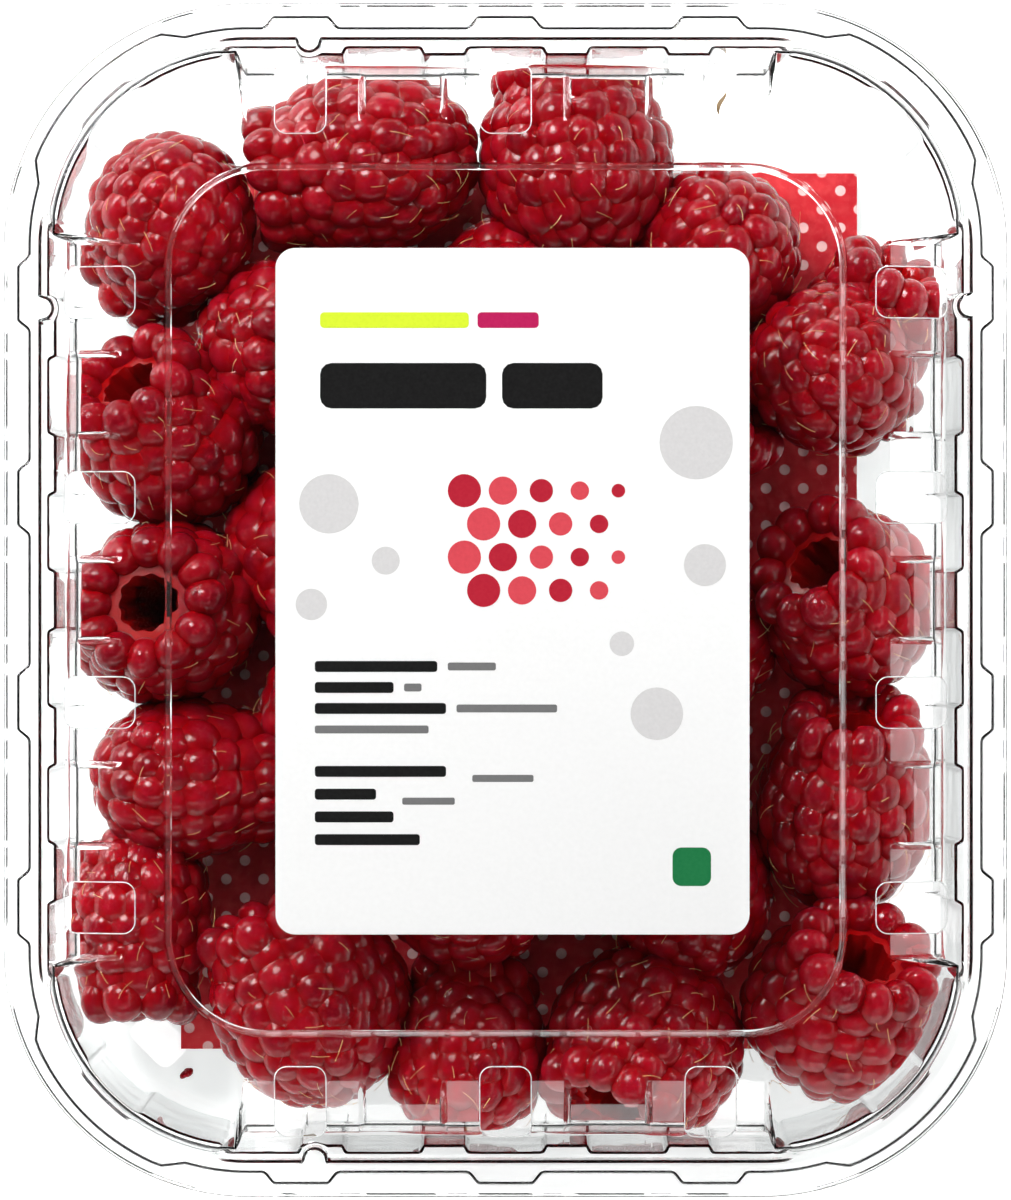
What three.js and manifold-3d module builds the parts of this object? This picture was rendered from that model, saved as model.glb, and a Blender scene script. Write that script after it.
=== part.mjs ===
// A clear plastic punnet of raspberries: a fluted tray, a push-fit lid with vents and stacking lugs,
// a paper label, an absorbent pad and the heap of berries.
// Millimetres, +Z up, +Y along the long side. The origin is the middle of the footprint, on the table.
import * as THREE from "three";
import { mergeVertices } from "three/addons/utils/BufferGeometryUtils.js";
import Module from "manifold-3d";

const wasm = await Module();
wasm.setup();

// Driving sizes
const WIDTH = 116;
const LENGTH = 138;
const CORNER_RADIUS = 28.4;
const SHEET = 0.45; // thickness of the formed plastic
const FLATNESS = 0.02; // edges that bend the surface less than this are merged away
const TOTAL_HEIGHT = 36;
const PITCH = 23.5; // vent to vent along every side
const SHORT_VENTS = 3;
const LONG_VENTS = 4;

// Tray: heights are of the surface that faces the food, insets are from the outer outline
const TRAY_RIM_Z = 28.35;
const FLOOR_Z = SHEET;
const FLOOR_PANEL_Z = 1.4;
const FLOOR_PANEL_INSET = 16.8;
const HEEL_INSET = 7.9;
const WALL_FOOT_INSET = 6.6;
const WALL_FOOT_Z = 1.9;
const WALL_TOP_INSET = 5.4;
const TRAY_FLANGE_INSET = 3.8;
const FLUTE_DEPTH = 0.85;
const FLUTE_RAMP = 0.7;
const LONG_FLUTES = { count: 5, pitch: 15.7, halfWidth: 3.2 };
const SHORT_FLUTES = { count: 4, pitch: 14.1, halfWidth: 2.3 };
const CORNER_FLUTES = [
  [9, 33],
  [57, 81],
]; // degrees round each corner
const TRAY_VENT = { width: 5.4, length: 4.2, inset: 9.6, fromEnd: 2.7 };
const CORNER_VENT = { width: 6.4, length: 4.4, inset: 12.2 };

// Lid: heights are of its upper surface
const PANEL_Z = TOTAL_HEIGHT - 0.2;
const LID_TOP_Z = 35;
const LEDGE_Z = TRAY_RIM_Z + SHEET + 0.4;
const RIB_Z = 31.6;
const SKIRT_FOOT_Z = 25.6;
const LID_EDGE_Z = 24.9;
const PANEL_INSET = 19.7;
const PANEL_FOOT_INSET = 18.9;
const PANEL_RADIUS = 11;
const FOLD_INSET = 14.3;
const LUG_FOLD_INSET = 11.6;
const SHOULDER_SLOPE = 0.355; // drop for each millimetre outwards
const RECESS_EDGE_INSET = 8.7;
const LUG_EDGE_INSET = 8.5;
const SHOULDER_FOOT_INSET = 7.7;
const LEDGE_OUTER_INSET = 4.95;
const RIB_INNER_INSET = 4.6;
const SKIRT_IN = 3.2;
const SKIRT_OUT = 1.9;
const SKIRT_DRAFT = 0.45;
const LUG_HALF_WIDTH = 4.25;
const LUG_DRAFT = 0.9;
const BUMP_HALF_WIDTH = 3.35;
const BUMP_RAMP = 0.95;
const LID_CORNER_MARKS = [3, 16, 23, 34, 45, 56, 67, 74, 87];
const VENT = { width: 5.9, inner: 15.6, outer: 7.2, radius: 1.4 };

// Label and pad
const LABEL = { width: 54.2, length: 78.5, radius: 2.3, x: 0.8, y: 1.0, thickness: 0.15 };
const PAD = { width: 80, length: 103.6, x: 1.6, y: -1.3, thickness: 0.95 };
const GAP = 0.05; // between a piece and the sheet it lies on

// Berries: x, y and height of the middle, heading and rise of the open end, radius, length
const BERRIES = [
  [-40.0, 44.8, 12.6, 165, -12, 10.0, 21.5],
  [-39.7, 19.3, 13.0, 130, 25, 10.9, 22.5],
  [-40.8, -1.2, 13.2, 170, 70, 11.0, 21.0],
  [-37.5, -20.8, 12.4, 0, -8, 9.4, 22.5],
  [-43.6, -37.7, 11.4, 272, 2, 8.9, 24.0],
  [-23.0, -47.7, 13.4, 120, 4, 10.6, 26.0],
  [-4.5, -53.2, 12.4, 85, -28, 9.4, 21.5],
  [16.8, -52.0, 13.0, 235, 30, 10.9, 22.5],
  [39.6, -48.0, 13.6, 62, 36, 11.2, 23.5],
  [39.4, -24.0, 13.2, 97, 18, 10.8, 25.5],
  [41.2, -0.5, 13.4, 172, 36, 10.9, 21.5],
  [38.8, 26.4, 15.6, 330, -55, 9.9, 20.5],
  [42.6, 31.6, 10.6, 60, 0, 8.6, 18.0],
  [24.8, 40.8, 13.2, 250, -62, 9.8, 20.5],
  [8.3, 51.0, 13.6, 96, -6, 11.2, 25.0],
  [-16.2, 51.2, 13.4, 190, -4, 10.8, 26.5],
  [-25.7, 29.6, 13.6, 340, 64, 10.4, 20.0],
  [-23.6, 6.1, 12.4, 300, 38, 9.6, 20.5],
  [-18.6, -13.1, 12.2, 30, -20, 9.6, 21.5],
  [-4.5, -33.3, 12.2, 140, -30, 9.6, 21.0],
  [21.3, -33.7, 12.4, 100, 10, 9.8, 22.0],
  [21.7, -4.6, 12.4, 200, -25, 9.7, 21.0],
  [19.9, 20.0, 12.4, 20, 25, 9.6, 21.5],
  [-0.2, 34.3, 12.2, 265, -15, 9.5, 21.5],
  [-7.8, 17.0, 12.2, 60, 40, 9.4, 20.5],
  [2.8, 0.1, 12.2, 320, -35, 9.6, 21.0],
  [9.8, -19.3, 12.2, 180, 20, 9.6, 21.5],
];
const BERRY_SIDES = 8;
const DRUPELET_RELIEF = 0.45;
const SEEN_MOUTH_RISE = 15; // degrees: an open end turned up this much shows its hollow
const HEAP_CORE = { width: 70, length: 94, bottom: 4, top: 10 };
const HEAP_CLEARANCE = 0.35;

// Outline stations, counterclockwise from the lower end of the right side

const reach = (side, halfWidth, halfLength) => (side % 2 ? halfLength : halfWidth);

function outlineStations(longMarks, shortMarks, cornerMarks) {
  const stations = [];
  for (let side = 0; side < 4; side++) {
    const halfStraight = reach(side + 1, WIDTH / 2, LENGTH / 2) - CORNER_RADIUS;
    const marks = side % 2 ? shortMarks : longMarks;
    const along = [-halfStraight, ...marks, halfStraight].sort((a, b) => a - b);
    along.forEach((t) => stations.push({ side, along: t / halfStraight, t, angle: 0 }));
    cornerMarks.forEach((angle) => stations.push({ side, along: 1, corner: true, angle }));
  }
  return stations;
}

// A station's point on the outline drawn in by an inset, with its own corner radius if one is given.
function outlinePoint(station, inset, radius = CORNER_RADIUS - inset) {
  const halfWidth = WIDTH / 2 - inset;
  const halfLength = LENGTH / 2 - inset;
  const facing = (station.side * Math.PI) / 2;
  const turned = facing + THREE.MathUtils.degToRad(station.angle);
  const out = reach(station.side, halfWidth, halfLength) - radius;
  const sideways = (reach(station.side + 1, halfWidth, halfLength) - radius) * station.along;
  return new THREE.Vector2(
    out * Math.cos(facing) - sideways * Math.sin(facing) + radius * Math.cos(turned),
    out * Math.sin(facing) + sideways * Math.cos(facing) + radius * Math.sin(turned),
  );
}

// Centres of evenly pitched features along a side.
const centres = (count, pitch) => Array.from({ length: count }, (_, i) => (i - (count - 1) / 2) * pitch);

// The four marks of a trapezoid bump: foot, shoulder, shoulder, foot.
const bumpMarks = (middles, halfWidth, ramp) =>
  middles.flatMap((c) => [c - halfWidth - ramp, c - halfWidth, c + halfWidth, c + halfWidth + ramp]);

// 1 on the top of a trapezoid bump, 0 beyond its feet.
function bumpAt(t, middles, halfWidth, ramp) {
  const nearest = Math.min(...middles.map((c) => Math.abs(t - c)));
  return THREE.MathUtils.clamp((halfWidth + ramp - nearest) / ramp, 0, 1);
}

// Solids and meshes

// A closed geometry as a manifold solid.
function toSolid(geometry) {
  const bare = geometry.index ? geometry.toNonIndexed() : geometry.clone();
  bare.deleteAttribute("normal");
  bare.deleteAttribute("uv");
  const merged = mergeVertices(bare, 1e-4);
  return new wasm.Manifold(
    new wasm.Mesh({
      numProp: 3,
      vertProperties: merged.attributes.position.array,
      triVerts: new Uint32Array(merged.index.array),
    }),
  );
}

function toGeometry(solid) {
  const mesh = solid.asOriginal().simplify(FLATNESS).getMesh();
  const positions = new Float32Array(mesh.numVert * 3);
  for (let i = 0; i < mesh.numVert; i++) {
    positions.set(mesh.vertProperties.subarray(i * mesh.numProp, i * mesh.numProp + 3), i * 3);
  }
  return new THREE.BufferGeometry()
    .setAttribute("position", new THREE.BufferAttribute(positions, 3))
    .setIndex(new THREE.BufferAttribute(mesh.triVerts, 1));
}

const joined = (solids) => solids.reduce((all, next) => all.add(next));

// The outer skin of a fused heap, without the pockets shut inside it.
const outerSkin = (solid) => solid.decompose().reduce((a, b) => (a.volume() > b.volume() ? a : b));

// A profile moved to the sheet's underside. It runs outwards, as pairs of inset and height.
function underside(profile) {
  const across = profile.slice(1).map(([inset, z], i) => {
    const run = new THREE.Vector2(profile[i][0] - inset, z - profile[i][1]).normalize();
    return new THREE.Vector2(run.y, -run.x);
  });
  return profile.map(([inset, z, radius], i) => {
    const before = across[Math.max(i - 1, 0)];
    const after = across[Math.min(i, across.length - 1)];
    const mitre = before.clone().add(after).normalize();
    const step = SHEET / Math.max(mitre.dot(after), 0.6);
    return [inset - mitre.x * step, z + mitre.y * step, radius];
  });
}

// A closed solid between an upper and a lower set of rings, each a list of points for each station.
function ringSolid(upper, lower) {
  const positions = [];
  const triangle = (...corners) => corners.forEach((p) => positions.push(...p));
  const rings = upper[0].length;
  const middle = (z) => [0, 0, z];
  upper.forEach((_, i) => {
    const next = (i + 1) % upper.length;
    for (let k = 0; k + 1 < rings; k++) {
      triangle(upper[i][k], upper[i][k + 1], upper[next][k + 1]);
      triangle(upper[i][k], upper[next][k + 1], upper[next][k]);
      triangle(lower[i][k], lower[next][k + 1], lower[i][k + 1]);
      triangle(lower[i][k], lower[next][k], lower[next][k + 1]);
    }
    const last = rings - 1;
    triangle(upper[i][last], lower[i][last], lower[next][last]);
    triangle(upper[i][last], lower[next][last], upper[next][last]);
    triangle(middle(upper[0][0][2]), upper[i][0], upper[next][0]);
    triangle(middle(lower[0][0][2]), lower[next][0], lower[i][0]);
  });
  return toSolid(
    new THREE.BufferGeometry().setAttribute("position", new THREE.Float32BufferAttribute(positions, 3)),
  );
}

const placed = (station, profile) =>
  profile.map(([inset, z, radius]) => {
    const p = outlinePoint(station, inset, radius);
    return [p.x, p.y, z];
  });

// A formed sheet: the profile at every station, and its underside.
function formedSheet(stations, profileAt) {
  const profiles = stations.map(profileAt);
  return ringSolid(
    stations.map((station, i) => placed(station, profiles[i])),
    stations.map((station, i) => placed(station, underside(profiles[i]))),
  );
}

function roundedPlate(width, length, radius, thickness, segments) {
  const shape = new THREE.Shape();
  const x = width / 2 - radius;
  const y = length / 2 - radius;
  const quarter = Math.PI / 2;
  shape.absarc(x, y, radius, 0, quarter);
  shape.absarc(-x, y, radius, quarter, 2 * quarter);
  shape.absarc(-x, -y, radius, 2 * quarter, 3 * quarter);
  shape.absarc(x, -y, radius, 3 * quarter, 4 * quarter);
  return new THREE.ExtrudeGeometry(shape, { depth: thickness, bevelEnabled: false, curveSegments: segments });
}

// A rounded cutter that stands across a side or corner, between two insets.
function ventCutter(side, t, angle, width, outer, inner, radius, bottom, top) {
  const plate = roundedPlate(inner - outer, width, radius, top - bottom, 2);
  const halfStraight = reach(side + 1, WIDTH / 2, LENGTH / 2) - CORNER_RADIUS;
  const at = outlinePoint({ side, along: t / halfStraight, angle }, (inner + outer) / 2);
  plate.rotateZ((side * Math.PI) / 2 + THREE.MathUtils.degToRad(angle));
  plate.translate(at.x, at.y, bottom);
  return toSolid(plate);
}

// Tray

const FLUTES = [LONG_FLUTES, SHORT_FLUTES];

function fluteAt(station) {
  if (station.corner) {
    return CORNER_FLUTES.some(([from, to]) => station.angle >= from && station.angle <= to) ? 1 : 0;
  }
  const { count, pitch, halfWidth } = FLUTES[station.side % 2];
  return bumpAt(station.t, centres(count, pitch), halfWidth, FLUTE_RAMP);
}

const fluteMarks = ({ count, pitch, halfWidth }) => bumpMarks(centres(count, pitch), halfWidth, FLUTE_RAMP);
const cornerFluteMarks = CORNER_FLUTES.flatMap(([from, to]) => [from - 4, from, (from + to) / 2, to, to + 3]);
const trayStations = outlineStations(fluteMarks(LONG_FLUTES), fluteMarks(SHORT_FLUTES), cornerFluteMarks);

function trayProfile(station) {
  const flute = FLUTE_DEPTH * fluteAt(station);
  return [
    [FLOOR_PANEL_INSET, FLOOR_PANEL_Z],
    [FLOOR_PANEL_INSET - 0.7, FLOOR_Z],
    [HEEL_INSET + flute, FLOOR_Z],
    [WALL_FOOT_INSET + flute, WALL_FOOT_Z],
    [WALL_TOP_INSET + flute, TRAY_RIM_Z],
    [TRAY_FLANGE_INSET, TRAY_RIM_Z],
  ];
}

function trayVents() {
  const { width, length, inset, fromEnd } = TRAY_VENT;
  const cutters = [];
  for (let side = 0; side < 4; side++) {
    const end = reach(side + 1, WIDTH / 2, LENGTH / 2) - CORNER_RADIUS - fromEnd;
    for (const t of [-end, end]) {
      cutters.push(ventCutter(side, t, 0, width, inset - length / 2, inset + length / 2, 1.2, -1, 1.6));
    }
    const corner = CORNER_VENT;
    const [outer, inner] = [corner.inset - corner.length / 2, corner.inset + corner.length / 2];
    const halfStraight = reach(side + 1, WIDTH / 2, LENGTH / 2) - CORNER_RADIUS;
    cutters.push(ventCutter(side, halfStraight, 45, corner.width, outer, inner, 1.2, -1, 1.6));
  }
  return joined(cutters);
}

const traySolid = () => formedSheet(trayStations, trayProfile).subtract(trayVents());

// Lid

const ventCentres = (side) => centres(side % 2 ? SHORT_VENTS : LONG_VENTS, PITCH);
const lugCentres = (side) => centres((side % 2 ? SHORT_VENTS : LONG_VENTS) - 1, PITCH);

const lidMarks = (side) => [
  ...bumpMarks(ventCentres(side), BUMP_HALF_WIDTH, BUMP_RAMP),
  ...bumpMarks(lugCentres(side), LUG_HALF_WIDTH, LUG_DRAFT),
];
const lidStations = outlineStations(lidMarks(0), lidMarks(1), LID_CORNER_MARKS);

// Inset of the skirt, which steps outwards beside every vent and round every corner.
function skirtInset(station) {
  const out = station.corner
    ? bumpAt(station.angle, [45], 22, 7)
    : bumpAt(station.t, ventCentres(station.side), BUMP_HALF_WIDTH, BUMP_RAMP);
  return THREE.MathUtils.lerp(SKIRT_IN, SKIRT_OUT, out);
}

const recessHeight = (inset) => LID_TOP_Z - (FOLD_INSET - inset) * SHOULDER_SLOPE;
const lugHeight = (inset) => LID_TOP_Z - (LUG_FOLD_INSET - inset) * SHOULDER_SLOPE;

// The lid's shoulder, from the fold to the rib: sunk between the lugs, high on them and in the corners.
function shoulder(station) {
  if (station.corner) {
    return [
      [FOLD_INSET - 4, LID_TOP_Z],
      [RIB_INNER_INSET + 1.3, LID_TOP_Z],
      [RIB_INNER_INSET + 0.75, RIB_Z + 1],
      [RIB_INNER_INSET + 0.35, RIB_Z + 0.4],
    ];
  }
  if (bumpAt(station.t, lugCentres(station.side), LUG_HALF_WIDTH, LUG_DRAFT) > 0.5) {
    return [
      [LUG_FOLD_INSET, LID_TOP_Z],
      [LUG_EDGE_INSET, lugHeight(LUG_EDGE_INSET)],
      [SHOULDER_FOOT_INSET, LEDGE_Z],
      [LEDGE_OUTER_INSET, LEDGE_Z],
    ];
  }
  return [
    [LUG_FOLD_INSET, recessHeight(LUG_FOLD_INSET)],
    [RECESS_EDGE_INSET, recessHeight(RECESS_EDGE_INSET)],
    [SHOULDER_FOOT_INSET, LEDGE_Z],
    [LEDGE_OUTER_INSET, LEDGE_Z],
  ];
}

function lidProfile(station) {
  const skirt = skirtInset(station);
  return [
    [PANEL_INSET, PANEL_Z, PANEL_RADIUS],
    [PANEL_FOOT_INSET, LID_TOP_Z, PANEL_RADIUS + PANEL_INSET - PANEL_FOOT_INSET],
    [FOLD_INSET, LID_TOP_Z],
    ...shoulder(station),
    [RIB_INNER_INSET, RIB_Z],
    [skirt, RIB_Z],
    [skirt - SKIRT_DRAFT, SKIRT_FOOT_Z],
    [0.3, SKIRT_FOOT_Z],
    [0, LID_EDGE_Z],
  ];
}

function lidVents() {
  const cutters = [0, 1, 2, 3].flatMap((side) =>
    ventCentres(side).map((t) =>
      ventCutter(side, t, 0, VENT.width, VENT.outer, VENT.inner, VENT.radius, LEDGE_Z - 2, LID_TOP_Z + 1),
    ),
  );
  return joined(cutters);
}

const lidSolid = () => formedSheet(lidStations, lidProfile).subtract(lidVents());

// Label and pad

function labelGeometry() {
  const plate = roundedPlate(LABEL.width, LABEL.length, LABEL.radius, LABEL.thickness, 3);
  return plate.translate(LABEL.x, LABEL.y, PANEL_Z + GAP);
}

const padTop = FLOOR_PANEL_Z + GAP + PAD.thickness;

function padGeometry() {
  const plate = new THREE.BoxGeometry(PAD.width, PAD.length, PAD.thickness);
  return plate.translate(PAD.x, PAD.y, padTop - PAD.thickness / 2);
}

// Berries

// Radius of a berry at a share of its length: 0 at the tip, 1 at the open end.
const berryRadius = (share) => Math.pow(Math.sin(Math.PI * Math.pow(share, 0.78) * 0.86 + 0.02), 0.62);

// A berry's outline from the tip round the open end: a full tapered dome, with its hollow if it shows.
function berryOutline(radius, length, hollow) {
  const shares = [0, 0.1, 0.3, 0.52, 0.74, 0.9, 1];
  const points = shares.map(
    (s) => new THREE.Vector2(s === 0 ? 0 : radius * berryRadius(s), (s - 0.5) * length),
  );
  if (hollow) {
    points.push(new THREE.Vector2(radius * 0.46, length * 0.47));
    points.push(new THREE.Vector2(radius * 0.34, length * 0.05));
    points.push(new THREE.Vector2(0, -length * 0.08));
  } else {
    points.push(new THREE.Vector2(0, length * 0.5));
  }
  return points;
}

// Every other corner stands out, like a drupelet, in rows that are staggered.
function addDrupelets(geometry, outerRows) {
  const position = geometry.attributes.position;
  const rows = geometry.parameters.points.length;
  for (let i = 0; i < position.count; i++) {
    const row = i % rows;
    const column = Math.floor(i / rows) % BERRY_SIDES;
    const radius = Math.hypot(position.getX(i), position.getZ(i));
    if (row === 0 || row >= outerRows || radius < 1) continue;
    const push = 1 + (((row + column) % 2 ? 1 : -1) * DRUPELET_RELIEF) / radius;
    position.setXYZ(i, position.getX(i) * push, position.getY(i), position.getZ(i) * push);
  }
  return geometry;
}

function berrySolid([x, y, z, heading, rise, radius, length]) {
  const outline = berryOutline(radius, length, rise >= SEEN_MOUTH_RISE);
  const berry = addDrupelets(new THREE.LatheGeometry(outline, BERRY_SIDES), 7);
  const mouth = new THREE.Vector3().setFromSphericalCoords(
    1,
    THREE.MathUtils.degToRad(90 - rise),
    THREE.MathUtils.degToRad(heading + 90),
  );
  // Spherical coordinates stand on +Y, so the direction is laid over onto +Z.
  const direction = new THREE.Vector3(mouth.x, -mouth.z, mouth.y);
  berry.applyQuaternion(new THREE.Quaternion().setFromUnitVectors(new THREE.Vector3(0, 1, 0), direction));
  berry.translate(x, y, z);
  return toSolid(berry);
}

// The space inside the tray, clear of its wall and of the pad.
function heapSpace() {
  const wall = (station) => {
    const flute = FLUTE_DEPTH * fluteAt(station);
    const foot = WALL_FOOT_INSET + flute + HEAP_CLEARANCE;
    const top = WALL_TOP_INSET + flute + HEAP_CLEARANCE;
    return { foot, top };
  };
  const ringAt = (station, inset, z) => placed(station, [[inset, z]]);
  const floor = padTop + HEAP_CLEARANCE / 2;
  return ringSolid(
    trayStations.map((station) => ringAt(station, wall(station).top, TRAY_RIM_Z)),
    trayStations.map((station) => ringAt(station, wall(station).foot, floor)),
  );
}

function heapSolid() {
  const { width, length, bottom, top } = HEAP_CORE;
  const core = new THREE.BoxGeometry(width, length, top - bottom).translate(0, 0, (top + bottom) / 2);
  const heap = joined([toSolid(core), ...BERRIES.map(berrySolid)]).intersect(heapSpace());
  return outerSkin(heap);
}

// Materials and the finished group

const clearPlastic = new THREE.MeshStandardMaterial({
  color: 0xeef4f4,
  roughness: 0.08,
  metalness: 0,
  transparent: true,
  opacity: 0.28,
});
const paper = new THREE.MeshStandardMaterial({ color: 0xfbfbfa, roughness: 0.55, metalness: 0 });
const soakedPad = new THREE.MeshStandardMaterial({ color: 0xb8323c, roughness: 0.7, metalness: 0 });
const raspberry = new THREE.MeshStandardMaterial({ color: 0xa51222, roughness: 0.35, metalness: 0 });

function piece(name, geometry, material) {
  const mesh = new THREE.Mesh(geometry, material);
  mesh.name = name;
  return mesh;
}

const punnet = new THREE.Group();
punnet.add(
  piece("tray", toGeometry(traySolid()), clearPlastic),
  piece("lid", toGeometry(lidSolid()), clearPlastic),
  piece("label", labelGeometry(), paper),
  piece("pad", padGeometry(), soakedPad),
  piece("berries", toGeometry(heapSolid()), raspberry),
);

export default punnet;
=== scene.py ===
import math

import bmesh
import bpy
import numpy as np
from mathutils import Matrix, Vector


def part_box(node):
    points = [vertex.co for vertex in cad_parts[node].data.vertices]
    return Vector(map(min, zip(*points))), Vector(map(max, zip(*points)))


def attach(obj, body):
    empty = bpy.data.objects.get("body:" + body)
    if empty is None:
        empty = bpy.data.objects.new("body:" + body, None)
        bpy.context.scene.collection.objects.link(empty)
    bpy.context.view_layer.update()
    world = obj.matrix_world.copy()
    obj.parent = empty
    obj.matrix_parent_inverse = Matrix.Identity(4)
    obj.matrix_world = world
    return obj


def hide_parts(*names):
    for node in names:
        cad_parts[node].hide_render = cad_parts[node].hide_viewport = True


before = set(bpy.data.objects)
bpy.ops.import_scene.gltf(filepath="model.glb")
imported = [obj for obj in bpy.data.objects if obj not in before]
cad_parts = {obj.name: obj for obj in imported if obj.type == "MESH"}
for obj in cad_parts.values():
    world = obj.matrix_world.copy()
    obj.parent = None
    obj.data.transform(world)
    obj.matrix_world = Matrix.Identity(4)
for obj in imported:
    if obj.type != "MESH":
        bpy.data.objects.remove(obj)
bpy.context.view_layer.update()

# The looks of a shut clear punnet of raspberries. Lengths are in millimetres until a mesh is made,
# +Z up, +Y along the pack's long side, with the origin in the middle of the footprint.
MM = 0.001
SEED = 11


def size_of(node):
    """A node's lowest and highest corner, in millimetres."""
    low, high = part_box(node)
    return np.array(low) / MM, np.array(high) / MM


LID_LOW, LID_HIGH = size_of("lid")
LABEL_LOW, LABEL_HIGH = size_of("label")
LABEL_MIDDLE = (LABEL_LOW[:2] + LABEL_HIGH[:2]) / 2
LABEL_RADIUS = 2.3
PAD_LOW, PAD_HIGH = size_of("pad")
WIDTH, LENGTH = (LID_HIGH - LID_LOW)[:2]
CORNER_RADIUS = 28.4
SHEET = 0.34  # thickness of the formed plastic
PITCH = 23.5  # vent to vent along every side

# Lid heights (upper surface) and insets from the outer edge
PANEL_Z = LABEL_LOW[2] - 0.05
LID_TOP_Z = PANEL_Z - 0.55
LEDGE_Z = LID_LOW[2] + 4.75
RIB_Z = LEDGE_Z + 2.4
SKIRT_FOOT_Z = LID_LOW[2] + 1.15
LIP_Z = LID_LOW[2] + 0.45
PANEL_INSET = 19.7
PANEL_FOOT_INSET = 19.03
RING_ROUNDING = 0.16
PANEL_RADIUS = 11.0
FOLD_INSET = 14.3
RECESS = [(11.6, -0.96), (8.7, -1.99), (7.7, None), (5.0, None)]  # inset, drop below the lid's top
LUG = [(11.6, 0.0), (8.9, -0.96), (7.75, None), (5.0, None)]
CORNER = [(10.3, 0.0), (5.95, -0.05), (5.4, -2.4), (5.0, -3.0)]
RIB_INNER_INSET = 4.6
SKIRT_IN = 3.2
SKIRT_OUT = 1.9
SKIRT_DRAFT = 0.45
LUG_HALF_WIDTH = 4.25
LUG_DRAFT = 0.9
BUMP_HALF_WIDTH = 3.0
BUMP_RAMP = 1.5
CORNER_BUMP = (45, 22, 7)  # middle, half width and ramp, in degrees
VENT_SIZE = (5.9, 8.4)
VENT_MIDDLE_INSET = 11.4
VENT_RADIUS = 1.4
VENT_EDGE_RADIUS = 0.065
NUB_RADIUS = 1.5
NUBS = {0: 33.8, 1: 22.6, 2: -33.5, 3: -21.9}  # side: place along it

# Tray heights (surface towards the food) and insets
TRAY_RIM_Z = 28.35
FLOOR_Z = 0.45
FLOOR_PANEL_Z = 1.4
FLOOR_PANEL_INSET = 16.8
FLUTE_DEPTH = 0.85
FLUTE_RAMP = 0.7
LONG_FLUTES = (5, 15.7, 3.2)  # count, pitch, half width
SHORT_FLUTES = (4, 14.1, 2.3)
CORNER_FLUTES = ((21, 12, 4), (69, 12, 4))  # middle, half width and ramp, in degrees
CORNER_SLOT_INSET = 12.2
END_SLOT_INSET = 9.6

# The inside that the berries lie in
WALL_FOOT_INSET = 8.0
WALL_TOP_INSET = 6.8
PAD_TOP = PAD_HIGH[2]

# Berries: x, y and height of the middle, heading and rise of the open end, radius, length
BERRIES = [
    (-39.2, 44.2, 12.6, 240, -38, 10.0, 21.5),
    (-39.4, 19.3, 13.0, 126, 36, 10.9, 22.5),
    (-39.8, -1.3, 13.2, 145, 75, 11.2, 21.0),
    (-37.5, -20.8, 12.4, 0, -8, 9.4, 22.5),
    (-43.0, -37.4, 11.4, 270, 2, 8.9, 23.5),
    (-22.6, -46.8, 13.4, 116, 6, 11.4, 25.0),
    (-4.5, -53.2, 12.4, 85, -28, 9.4, 21.5),
    (16.4, -51.8, 13.0, 240, 32, 11.3, 22.5),
    (39.2, -47.6, 13.6, 68, 47, 11.2, 23.0),
    (39.6, -24.2, 13.2, 86, 25, 10.8, 25.5),
    (40.2, -0.3, 13.4, 132, 46, 10.9, 21.5),
    (38.0, 27.0, 15.6, 330, -55, 9.9, 20.5),
    (42.4, 31.8, 10.6, 60, 20, 8.6, 18.0),
    (24.8, 40.8, 13.2, 250, -62, 9.8, 20.5),
    (8.3, 51.0, 13.6, 96, -6, 11.2, 25.0),
    (-16.2, 51.2, 13.4, 190, -4, 10.8, 26.5),
    (-25.7, 29.6, 13.6, 340, 64, 10.4, 20.0),
    (-23.6, 6.1, 12.4, 300, 38, 9.6, 20.5),
    (-18.6, -13.1, 12.2, 30, -20, 9.6, 21.5),
    (-4.5, -33.3, 12.2, 140, -30, 9.6, 21.0),
    (21.3, -33.7, 12.4, 100, 10, 9.8, 22.0),
    (21.7, -4.6, 12.4, 200, -25, 9.7, 21.0),
    (19.9, 20.0, 12.4, 20, 25, 9.6, 21.5),
    (-0.2, 34.3, 12.2, 265, -15, 9.5, 21.5),
    (-7.8, 17.0, 12.2, 60, 40, 9.4, 20.5),
    (2.8, 0.1, 12.2, 320, -35, 9.6, 21.0),
    (9.8, -19.3, 12.2, 180, 20, 9.6, 21.5),
]
DRUPELET_PITCH = 4.0
DRUPELET_DEPTH = 2.05
MOUTH_DRUPELET = (2.8, 2.5)  # half height and half depth of those round the open end
ROW_PITCH = 3.4
FIRST_ROW = 1.0  # how far along the skin the first row lies
HAIR_SHARE = 0.5  # share of drupelets that keep their hair
HAIR_LENGTHS = (1.3, 2.7)
HAIR_RADII = (0.035, 0.052)
HAIR_RINGS = 6
HAIR_SIDES = 3
LOOSE_DRUPELETS = [(-37.6, -55.8, 1.1), (-29.6, -55.6, 1.7), (-30.0, -54.0, 1.3)]  # x, y, size
SCRAPS = [  # x, y, z, length, width, heading
    (-23.6, -59.6, 0.9, 2.2, 0.9, 20),
    (25.6, 58.8, 1.0, 2.8, 0.6, 75),
    (12.0, -39.5, 2.9, 1.8, 0.25, 30),
    (27.3, -27.8, 2.9, 3.2, 0.2, 110),
    (-24.0, -54.8, 1.2, 1.8, 0.5, 60),
]
SCRAP_RINGS = 7
SPECK_COUNT = 26
SPECK_SIZES = (0.12, 0.28)


# Mesh helpers

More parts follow.
